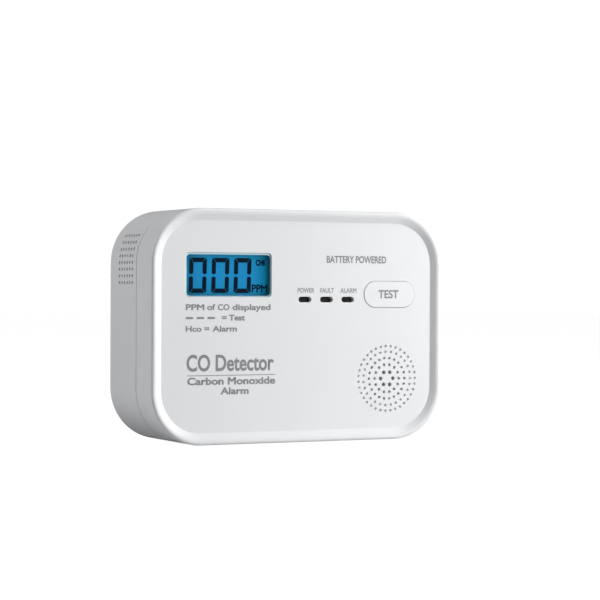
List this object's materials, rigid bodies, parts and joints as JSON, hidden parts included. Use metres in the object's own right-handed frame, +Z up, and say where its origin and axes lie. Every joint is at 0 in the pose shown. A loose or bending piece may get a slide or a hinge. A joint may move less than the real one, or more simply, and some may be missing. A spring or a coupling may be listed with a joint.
{
  "type": "carbon monoxide detector",
  "caption": "White wall-hung carbon monoxide detector: rounded box with blue display, indicator lamps, push-to-test button, sounder grille, side vents and rear battery door.",
  "frame": {"origin": "middle of the underside, halfway through the depth", "axes": "+X to the right of someone facing the display, +Z up, the face looks along -Y and the wall side along +Y"},
  "size_m": [0.118, 0.0396, 0.0844],
  "materials": {
    "white_abs": "fine satin moulded ABS",
    "button_abs": "satin moulded ABS",
    "clear_lens": "clear polycarbonate",
    "display_blue": "liquid crystal over a blue light",
    "backlight": "diffuse light guide",
    "dark_plastic": "moulded",
    "contact_rubber": "striped elastomer",
    "board_green": "solder mask",
    "lamp_green": "tinted epoxy",
    "lamp_amber": "tinted epoxy",
    "lamp_red": "tinted epoxy",
    "brass_disc": "rolled",
    "foam": "open-cell foam",
    "bright_steel": "nickel plated",
    "capacitor_sleeve": "shrink sleeve",
    "ferrite": "sintered",
    "socket_nylon": "nylon",
    "cell_jacket": "printed steel jacket",
    "wire_red": "insulation",
    "wire_black": "insulation",
    "label_film": "printed film"
  },
  "bodies": {
    "case": {"front_cover": "white_abs", "rear_housing": "white_abs", "display_window": "clear_lens", "lcd_glass": "display_blue", "lcd_backlight": "backlight", "lcd_frame": "dark_plastic", "zebra_strip": "contact_rubber", "main_pcb": "board_green", "led_power": "lamp_green", "led_fault": "lamp_amber", "led_alarm": "lamp_red", "led_holder": "dark_plastic", "tact_switch_body": "dark_plastic", "sounder_housing": "dark_plastic", "piezo_disc": "brass_disc", "sounder_gasket": "foam", "co_sensor_can": "bright_steel", "co_sensor_cap": "dark_plastic", "vent_filter": "foam", "microcontroller": "dark_plastic", "crystal": "bright_steel", "supply_capacitor": "capacitor_sleeve", "alarm_capacitor": "capacitor_sleeve", "boost_inductor": "ferrite", "battery_socket": "socket_nylon", "battery_1": "cell_jacket", "battery_2": "cell_jacket", "battery_3": "cell_jacket", "battery_spring_1": "bright_steel", "battery_spring_2": "bright_steel", "battery_spring_3": "bright_steel", "battery_contact_negative": "bright_steel", "battery_contact_positive": "bright_steel", "battery_bridge_top": "bright_steel", "battery_bridge_bottom": "bright_steel", "case_screw_1": "bright_steel", "case_screw_2": "bright_steel", "case_screw_3": "bright_steel", "case_screw_4": "bright_steel", "pcb_screw_1": "bright_steel", "pcb_screw_2": "bright_steel", "pcb_screw_3": "bright_steel", "battery_wire_red": "wire_red", "battery_wire_black": "wire_black", "sounder_wire_red": "wire_red", "sounder_wire_black": "wire_black", "rating_label": "label_film"},
    "battery_door": {"battery_door": "white_abs"},
    "test_button": {"test_button": "button_abs"},
    "switch_plunger": {"tact_switch_plunger": "dark_plastic"}
  },
  "joints": [
    {"name": "door_hinge", "type": "hinge", "parent": "case", "child": "battery_door", "pos_m": [0, 0.0181, 0.0106], "axis": [-1, 0, 0], "range_deg": [0, 95]},
    {"name": "test_button_press", "type": "slide", "parent": "case", "child": "test_button", "axis": [0, 1, 0], "range_m": [0, 0.0006], "stiffness_N_per_m": 800, "springref_m": -0.001},
    {"name": "switch_plunger_press", "type": "slide", "parent": "case", "child": "switch_plunger", "axis": [0, 1, 0], "range_m": [0, 0.00025]}
  ],
  "couplings": [
    {"joint": "switch_plunger_press", "follows": "test_button_press", "ratio": 0.41666}
  ]
}
